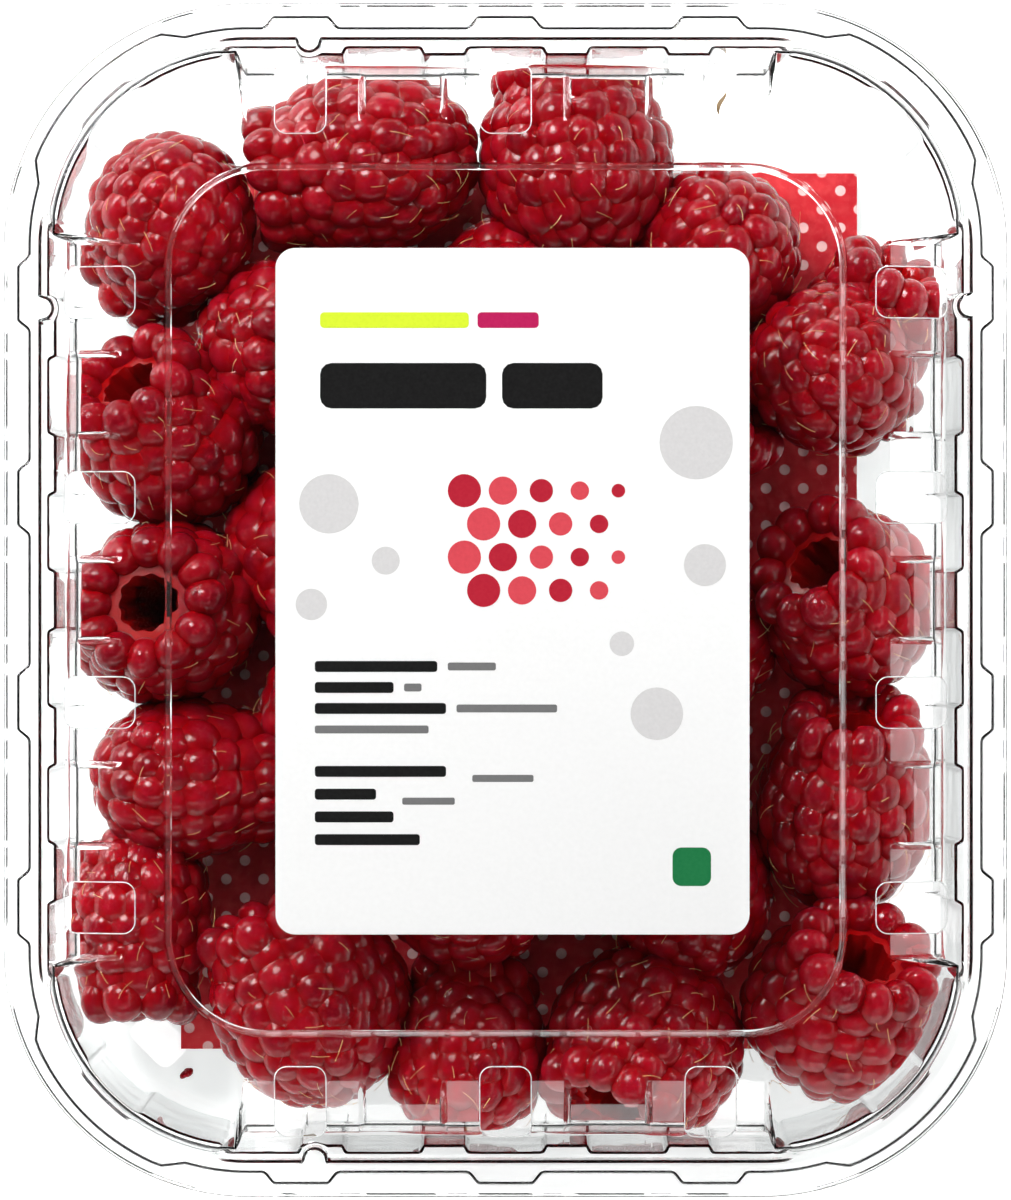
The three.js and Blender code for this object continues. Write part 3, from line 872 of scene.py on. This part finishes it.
def make_pad(material):
    """A thin sheet with pressed dots, soft swells and pinched edges."""
    rng = np.random.default_rng(SEED)
    step = DOT_PITCH / 8
    xs = np.linspace(PAD_LOW[0], PAD_HIGH[0], int((PAD_HIGH[0] - PAD_LOW[0]) / step) + 1)
    ys = np.linspace(PAD_LOW[1], PAD_HIGH[1], int((PAD_HIGH[1] - PAD_LOW[1]) / step) + 1)
    x, y = np.meshgrid(xs, ys, indexing="ij")

    def dot_distance(shift):
        fx = (x / DOT_PITCH + shift) % 1 - 0.5
        fy = (y / DOT_PITCH + shift) % 1 - 0.5
        return np.hypot(fx, fy) * DOT_PITCH

    distance = np.minimum(dot_distance(0), dot_distance(0.5))
    dip = 0.16 * (1 - smoothstep((distance - 0.35) / 0.75))
    waves = sum(
        0.05 * np.sin(x * rng.uniform(0.05, 0.3) + y * rng.uniform(0.05, 0.3) + rng.uniform(0, 6))
        for _ in range(5)
    )
    edge = np.minimum.reduce([x - PAD_LOW[0], PAD_HIGH[0] - x, y - PAD_LOW[1], PAD_HIGH[1] - y])
    full = smoothstep(edge / 2.5)
    top = PAD_LOW[2] + 0.3 + (PAD_HIGH[2] - PAD_LOW[2] - 0.45 + waves * 0.6 - dip) * full
    bottom = np.full_like(top, PAD_LOW[2])
    nx, ny = x.shape
    verts = np.concatenate([np.stack([x, y, z], -1).reshape(-1, 3) for z in (top, bottom)])
    under = nx * ny
    faces = [(k, k + ny, k + ny + 1, k + 1) for i in range(nx - 1) for k in range(i * ny, i * ny + ny - 1)]
    rim = [i * ny for i in range(nx)] + [(nx - 1) * ny + j for j in range(1, ny)]
    rim += [i * ny + ny - 1 for i in range(nx - 2, -1, -1)] + [j for j in range(ny - 2, 0, -1)]
    faces += [(b, a, under + a, under + b) for a, b in zip(rim, rim[1:] + rim[:1])]
    faces.append(tuple(under + i for i in reversed(rim)))
    used = np.unique(np.concatenate([np.arange(under), under + np.array(rim)]))
    renumber = {old: new for new, old in enumerate(used)}
    pad = mesh_object("pad_sheet", verts[used], [tuple(renumber[i] for i in f) for f in faces], material)
    smooth(pad, 50)
    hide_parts("pad")
    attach(pad, "root")


# Berries

def unit_sphere(subdivisions=3):
    """Points and faces of an icosphere of radius 1."""
    ball = bmesh.new()
    bmesh.ops.create_icosphere(ball, subdivisions=subdivisions, radius=1.0)
    verts = np.array([v.co[:] for v in ball.verts])
    faces = [tuple(v.index for v in f.verts) for f in ball.faces]
    ball.free()
    return verts, faces


SPHERE = unit_sphere()
SPECK = unit_sphere(1)


def berry_radius(share):
    """Radius at a share of the length, as a share of the largest: 0 at the tip, 1 at the open end."""
    return np.sin(math.pi * share**0.78 * 0.86 + 0.02) ** 0.62


def lathe(radii, heights, steps, relief=None):
    """A closed turned solid; relief(angle, height) adds to the radius."""
    angles = np.linspace(0, 2 * math.pi, steps, endpoint=False)
    verts = []
    for radius, height in zip(radii, heights):
        extra = relief(angles, height) if relief else 0.0
        verts.append(np.c_[(radius + extra) * np.cos(angles), (radius + extra) * np.sin(angles),
                           np.full(steps, height)])
    return np.concatenate(verts), ring_faces(len(radii), steps)


class Berry:
    """One raspberry along +Z, its open end up, before it is laid in the pack."""

    def __init__(self, number, radius, length):
        self.rng = np.random.default_rng(SEED * 100 + number)
        self.radius = radius
        self.length = length
        self.sites = self.place_drupelets()

    def meridian(self, share):
        return self.radius * berry_radius(share), (share - 0.5) * self.length

    def place_drupelets(self):
        """Centre, axes (across, along, out) and tone of every drupelet, from the open end on."""
        rng = self.rng
        radii, heights = self.meridian(np.linspace(1, 0, 400))
        run = np.concatenate([[0], np.cumsum(np.hypot(np.diff(radii), np.diff(heights)))])
        slopes = np.gradient(radii, run), np.gradient(heights, run)
        sites = []
        rows = max(4, round((run[-1] - 1.2) / ROW_PITCH))
        spin = rng.uniform(0, 6.28)
        for row in range(rows + 1):
            at = FIRST_ROW + (run[-1] - FIRST_ROW) * row / rows
            ring_r, ring_z = np.interp(at, run, radii), np.interp(at, run, heights)
            slope_r, slope_z = np.interp(at, run, slopes[0]), np.interp(at, run, slopes[1])
            slope = math.hypot(slope_r, slope_z)
            pitch = DRUPELET_PITCH * (0.86 if row == 0 else 1.06 - 0.26 * row / rows)
            count = max(1, round(2 * math.pi * max(ring_r - 0.6, 0) / pitch))
            spin += math.pi / count
            for i in range(count):
                angle = spin + 2 * math.pi * (i + rng.uniform(-0.13, 0.13)) / count
                ring = (ring_r, ring_z, slope_r / slope, slope_z / slope, count)
                sites.append(self.drupelet(angle, ring, row == 0))
        return sites

    def drupelet(self, angle, ring, at_mouth):
        """One drupelet on a ring; those at the open end stand upright round it."""
        rng = self.rng
        ring_r, ring_z, slope_r, slope_z, count = ring
        side = np.array([-math.sin(angle), math.cos(angle), 0])
        spoke = np.array([math.cos(angle), math.sin(angle), 0])
        down = spoke * slope_r + np.array([0, 0, slope_z])
        out = np.cross(down, side)
        if np.dot(out, spoke + np.array([0, 0, ring_z / self.length])) < 0:
            out = -out
        scale = rng.uniform(0.9, 1.12)
        across = max(min(math.pi * max(ring_r, 0.9) / max(count, 2), 2.25) * 1.22, 1.7) * scale
        along = ROW_PITCH * 0.79 * scale
        deep = DRUPELET_DEPTH * rng.uniform(0.92, 1.08)
        place = spoke * ring_r + np.array([0, 0, ring_z])
        centre = place - out * (deep * 0.94 + rng.uniform(-0.25, 0.25))
        centre = centre + down * rng.uniform(-0.25, 0.25)
        if at_mouth:
            along, deep = MOUTH_DRUPELET
            out = spoke
            down = np.array([0, 0, -1.0])
            centre = spoke * (ring_r - 0.4) + np.array([0, 0, ring_z - 1.5 + rng.uniform(-0.4, 0.4)])
        return centre, side * across, down * along, out * deep, rng.uniform(0, 1)

    def groups(self):
        """Lists of drupelets that don't touch each other, so that each list is one clean solid."""
        groups = []
        for site in self.sites:
            span = max(np.linalg.norm(axis) for axis in site[1:4])
            for group in groups:
                if all(np.linalg.norm(site[0] - other[0]) > span + far + 0.1 for other, far in group):
                    group.append((site, span))
                    break
            else:
                groups.append([(site, span)])
        return [[site for site, _ in group] for group in groups]

    def group_mesh(self, group):
        parts = []
        for centre, across, along, out, _ in group:
            axes = np.array([across, along, out])
            verts = SPHERE[0] @ axes + centre
            faces = SPHERE[1] if np.linalg.det(axes) > 0 else [f[::-1] for f in SPHERE[1]]
            parts.append((verts, faces))
        return mesh_object("drupelets", *joined_parts(parts))

    def core(self):
        shares = np.linspace(0.03, 0.97, 14)
        r, z = self.meridian(shares)
        r = np.maximum(r - 1.5, 0.6)
        return lathe(r, z * (1 - 3.1 / self.length), 28)

    def hollow(self):
        """The hollow's solid, with soft folds round its wall."""
        mouth = self.radius * 0.33
        depth = np.linspace(0, 1, 9)
        radii = mouth * (1 - 0.25 * depth) * np.sqrt(np.clip(1.02 - depth**4, 0.02, 1))
        heights = self.length * (0.62 - depth * 0.78)
        folds = 11
        order = np.argsort(heights)

        def relief(angle, height):
            ridges = 0.24 * np.cos(folds * angle + height * 0.9) * np.cos(height * 1.3)
            return ridges + 0.2 * np.cos(3 * angle + height) + 0.12 * np.cos(5 * angle - height * 2)

        return lathe(radii[order], heights[order], 60, relief), mouth

    def bent(self, points):
        """Points pressed a little out of round and bent a little off the axis."""
        squash = self.rng.uniform(-0.05, 0.05)
        bend = self.rng.uniform(-0.0035, 0.0035, 2)
        shaped = points * [1 + squash, 1 - squash, 1]
        shaped[:, :2] += bend * (points[:, 2:3] ** 2)
        return shaped

    def build(self, name, material):
        body = mesh_object(name, *self.core())
        for group in self.groups():
            boolean(body, "UNION", self.group_mesh(group))
        hollow, mouth = self.hollow()
        boolean(body, "DIFFERENCE", mesh_object("hollow", *hollow))
        self.paint(body.data, mouth)
        dress(body, material)
        return body

    def paint(self, mesh, mouth):
        """Finds the look of every point from the drupelets nearest to it."""
        points = points_of(mesh)
        middles = np.array([s[0] for s in self.sites])
        tones = np.array([s[4] for s in self.sites])
        distance = np.linalg.norm(points[:, None] - middles[None], axis=2)
        order = np.argsort(distance, axis=1)[:, :2]
        first = np.take_along_axis(distance, order[:, :1], 1)[:, 0]
        second = np.take_along_axis(distance, order[:, 1:], 1)[:, 0]
        dome = np.clip((second - first) / (0.7 * DRUPELET_PITCH), 0, 1)
        inside = (np.hypot(points[:, 0], points[:, 1]) < mouth + 0.35) & (points[:, 2] > -0.2 * self.length)
        # Depth into the hollow, which the skin paints darker as painted shade.
        depth = np.clip((0.55 - points[:, 2] / self.length) / 0.7, 0.03, 1)
        hollow = np.where(inside & (first > 1.2), depth, 0)
        set_look(mesh, np.c_[dome, tones[order[:, 0]], hollow, np.ones(len(points))])


def settle(points):
    """Presses points that would reach into the pad or the wall back inside."""
    points = points.copy()
    points[:, 2] = np.maximum(points[:, 2], PAD_TOP + 0.05)
    share = np.clip(points[:, 2] / TRAY_RIM_Z, 0, 1)
    inset = WALL_FOOT_INSET + (WALL_TOP_INSET - WALL_FOOT_INSET) * share
    radius = CORNER_RADIUS - inset
    straight = np.array([WIDTH / 2, LENGTH / 2]) - CORNER_RADIUS
    nearest = np.clip(points[:, :2], -straight, straight)
    away = points[:, :2] - nearest
    distance = np.maximum(np.hypot(away[:, 0], away[:, 1]), 1e-6)
    keep = np.minimum(1, radius / distance)[:, None]
    points[:, :2] = nearest + away * keep
    return points


def berry_pose(number, x, y, z, heading, rise):
    """Matrix that turns +Z to the open end's direction and moves the berry to its place."""
    mouth = Vector((
        math.cos(math.radians(heading)) * math.cos(math.radians(rise)),
        math.sin(math.radians(heading)) * math.cos(math.radians(rise)),
        math.sin(math.radians(rise)),
    ))
    turn = Vector((0, 0, 1)).rotation_difference(mouth).to_matrix().to_4x4()
    spin = Matrix.Rotation(number * 1.7, 4, "Z")
    return Matrix.Translation((x, y, z)) @ turn @ spin


def hair_tube(start, along, out, rng):
    """A fine bent hair as a tapering tube with three sides."""
    length = rng.uniform(*HAIR_LENGTHS)
    thick = rng.uniform(*HAIR_RADII)
    sideways = np.cross(along, out)
    bend = rng.uniform(-0.7, 0.7)
    lift = rng.uniform(0.15, 0.6)
    rings = []
    for share in np.linspace(0, 1, HAIR_RINGS):
        spine = start + length * (share * along + bend * share**2 * sideways * 0.5)
        spine = spine + out * length * lift * (share - 0.75 * share**2)
        radius = thick * (1 - 0.45 * share) * (1.7 if share == 1 else 1)
        for corner in range(HAIR_SIDES):
            turn = corner * 2 * math.pi / HAIR_SIDES
            rings.append(spine + radius * (math.cos(turn) * sideways + math.sin(turn) * out))
    return np.array(rings), ring_faces(HAIR_RINGS, HAIR_SIDES)


def grow_hairs(berry, matrix):
    """Hairs that stand on some of the drupelets, laid over towards the berry's tip."""
    rng = np.random.default_rng(SEED * 7 + len(berry.sites))
    turn = np.array(matrix.to_3x3())
    shift = np.array(matrix.translation)
    parts = []
    for centre, _, along, out, _ in berry.sites:
        if rng.uniform() > HAIR_SHARE:
            continue
        normal = out / np.linalg.norm(out)
        down = along / np.linalg.norm(along)
        turned = rng.uniform(-1.2, 1.2)
        side = np.cross(normal, down)
        heading = down * math.cos(turned) + side * math.sin(turned)
        root = centre + out * 0.98
        tube, faces = hair_tube(turn @ root + shift, turn @ heading, turn @ normal, rng)
        parts.append((tube, faces))
    return parts


def make_berries(skin, hair):
    hairs = []
    for number, (x, y, z, heading, rise, radius, length) in enumerate(BERRIES, 1):
        berry = Berry(number, radius, length)
        name = f"raspberry_{number:02d}"
        piece = berry.build(name, skin)
        matrix = berry_pose(number, x, y, z, heading, rise)
        placed = berry.bent(points_of(piece.data)) @ np.array(matrix.to_3x3()).T
        placed = settle(placed + np.array(matrix.translation))
        piece.data.vertices.foreach_set("co", (placed * MM).ravel())
        piece.data.update()
        smooth(piece, 32)
        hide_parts("berries")
        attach(piece, "root")
        hairs += grow_hairs(berry, matrix)
    verts, faces = joined_parts(hairs)
    piece = mesh_object("raspberry_hairs", settle(verts), faces, hair)
    smooth(piece, 80)
    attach(piece, "root")


def make_crumbs(skin):
    """Drupelets that came loose, on the tray's floor."""
    rng = np.random.default_rng(SEED * 3)
    parts = []
    for x, y, size in LOOSE_DRUPELETS:
        for _ in range(3):
            axes = np.diag(size * rng.uniform([0.5, 0.35, 0.4], [0.75, 0.5, 0.5]))
            turn = np.array(Matrix.Rotation(rng.uniform(0, 3), 3, "Z"))
            spot = np.array([x, y, FLOOR_Z + 0.5 * size]) + rng.uniform(-0.4, 0.4, 3) * [size, size, 0.3]
            parts.append(mesh_object("crumb", SPHERE[0] @ axes @ turn.T + spot, SPHERE[1]))
    crumbs = parts[0]
    boolean(crumbs, "UNION", *parts[1:])
    crumbs.name = crumbs.data.name = "loose_drupelets"
    set_look(crumbs.data, np.tile([0.4, 0.9, 0.0, 1.0], (len(crumbs.data.vertices), 1)))
    dress(crumbs, skin)
    smooth(crumbs, 32)
    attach(crumbs, "root")


def make_scraps(material):
    """Small dry bits of calyx and stem, and dark specks."""
    rng = np.random.default_rng(SEED * 5)
    parts = []
    for x, y, z, length, width, heading in SCRAPS:
        share = np.linspace(0, 1, SCRAP_RINGS)
        ridge = np.c_[length * (share - 0.5),
                      0.35 * width * np.sin(share * 5), 0.25 * width * np.sin(share * 3)]
        half = width * (0.25 + np.sin(share * math.pi)) / 2
        verts = [
            ridge + np.c_[np.zeros(SCRAP_RINGS), half * math.cos(turn), 0.4 * half * math.sin(turn)]
            for turn in (0, 2.1, 4.2)
        ]
        turn = np.array(Matrix.Rotation(math.radians(heading), 3, "Z"))
        flat = np.stack(verts, axis=1).reshape(-1, 3) @ turn.T + [x, y, z]
        parts.append((flat, ring_faces(SCRAP_RINGS, 3)))
    for _ in range(SPECK_COUNT):
        x, y = rng.uniform(-0.86, 0.86, 2) * [WIDTH / 2, LENGTH / 2]
        size = rng.uniform(*SPECK_SIZES)
        spot = [x * 0.9, y * 0.9, PAD_TOP + 0.1]
        parts.append((SPECK[0] * size + spot, SPECK[1]))
    scraps = mesh_object("scraps", *joined_parts(parts), material)
    smooth(scraps, 60)
    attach(scraps, "root")


# Stage

FLOOR_HALF = 3000


def make_floor():
    corners = [(FLOOR_HALF * x, FLOOR_HALF * y, 0) for x, y in ((-1, -1), (1, -1), (1, 1), (-1, 1))]
    mesh_object("floor", corners, [(0, 1, 2, 3)], floor_material())


LIGHTS = [  # name, direction, distance in metres, width and height in metres, radiance
    ("key_upper_left", (-0.40, 0.62, 0.78), 1.1, (0.40, 0.40), 26.0),
    ("kicker_top_right", (0.45, 0.50, 0.70), 1.1, (0.12, 0.12), 30.0),
    ("strip_right", (0.673, -0.05, 0.74), 1.0, (1.00, 0.13), 2.6),
    ("strip_bottom", (0.05, -0.673, 0.73), 1.0, (1.00, 0.13), 2.6),
    ("low_right", (0.98, 0.0, 0.18), 1.0, (0.90, 0.18), 4.0),
    ("low_bottom", (0.0, -0.98, 0.18), 1.0, (0.90, 0.18), 4.0),
    ("low_upper_left", (-0.69, 0.69, 0.18), 1.0, (0.80, 0.18), 20.0),
]
GLINT_ONLY = {"low_upper_left"}  # lamps that show in gloss and leave matt surfaces dark


def make_lights():
    """Area lights that face the pack, each of an even brightness."""
    for name, direction, distance, (width, height), radiance in LIGHTS:
        light = bpy.data.lights.new(name, "AREA")
        light.shape = "RECTANGLE"
        light.size = width
        light.size_y = height
        light.energy = radiance * math.pi * width * height
        lamp = bpy.data.objects.new(name, light)
        toward = Vector(direction).normalized()
        lamp.location = toward * distance
        lamp.rotation_euler = toward.to_track_quat("Z", "Y").to_euler()
        lamp.visible_camera = False
        lamp.visible_diffuse = name not in GLINT_ONLY
        bpy.context.scene.collection.objects.link(lamp)


ROOM_LEVELS = [  # sine of the height above the horizon, brightness
    (0.0, 0.2), (0.2, 0.25), (0.3, 0.4), (0.42, 0.12), (0.7, 0.015), (1.0, 0.005),
]
BACKDROP = 0.93


def make_world():
    """A dim room with a brighter band, and a plain pale backdrop where the camera sees it."""
    n = Nodes("studio", "World")
    split = n.add("ShaderNodeSeparateXYZ", {0: n.add("ShaderNodeTexCoord").outputs["Generated"]})
    ramp = n.add("ShaderNodeValToRGB", {0: split.outputs["Z"]})
    while len(ramp.color_ramp.elements) < len(ROOM_LEVELS):
        ramp.color_ramp.elements.new(0.5)
    for element, (place, level) in zip(ramp.color_ramp.elements, ROOM_LEVELS):
        element.position = place
        element.color = (level, level, level, 1)
    room = n.add("ShaderNodeBackground", {"Color": ramp.outputs[0]})
    backdrop = n.add("ShaderNodeBackground", {"Color": (BACKDROP, BACKDROP, BACKDROP, 1)})
    seen = n.add("ShaderNodeLightPath").outputs["Is Camera Ray"]
    mix = n.add("ShaderNodeMixShader", {0: seen, 1: room.outputs[0], 2: backdrop.outputs[0]})
    bpy.context.scene.world = n.finish(mix.outputs[0])


FRAME_HEIGHT = 138.7  # what the picture spans at the lid's edge
CAMERA_RISE = 1000.0


def make_camera():
    """A long lens that looks straight down, as a new camera does."""
    data = bpy.data.cameras.new("camera")
    data.sensor_width = 36
    data.lens = data.sensor_width * CAMERA_RISE / FRAME_HEIGHT
    data.clip_end = 20
    camera = bpy.data.objects.new("camera", data)
    camera.location = (0, 0, (CAMERA_RISE + LIP_Z) * MM)
    bpy.context.scene.collection.objects.link(camera)
    bpy.context.scene.camera = camera


make_camera()
make_world()
make_lights()
make_floor()
make_tray(clear_plastic("tray_plastic", 0.985))
make_lid(clear_plastic("lid_plastic", 0.99))
make_vent_edges(cut_edge_material())
make_label(paper())
print_label()
make_pad(pad_material())
skin = berry_material()
make_berries(skin, hair_material())
make_crumbs(skin)
make_scraps(scrap_material())
bpy.context.scene.view_settings.view_transform = "Standard"
bpy.context.scene.cycles.use_light_tree = False
bpy.context.scene.cycles.max_bounces = 7
bpy.context.scene.cycles.diffuse_bounces = 1
bpy.context.scene.cycles.glossy_bounces = 2
bpy.context.scene.cycles.transmission_bounces = 7
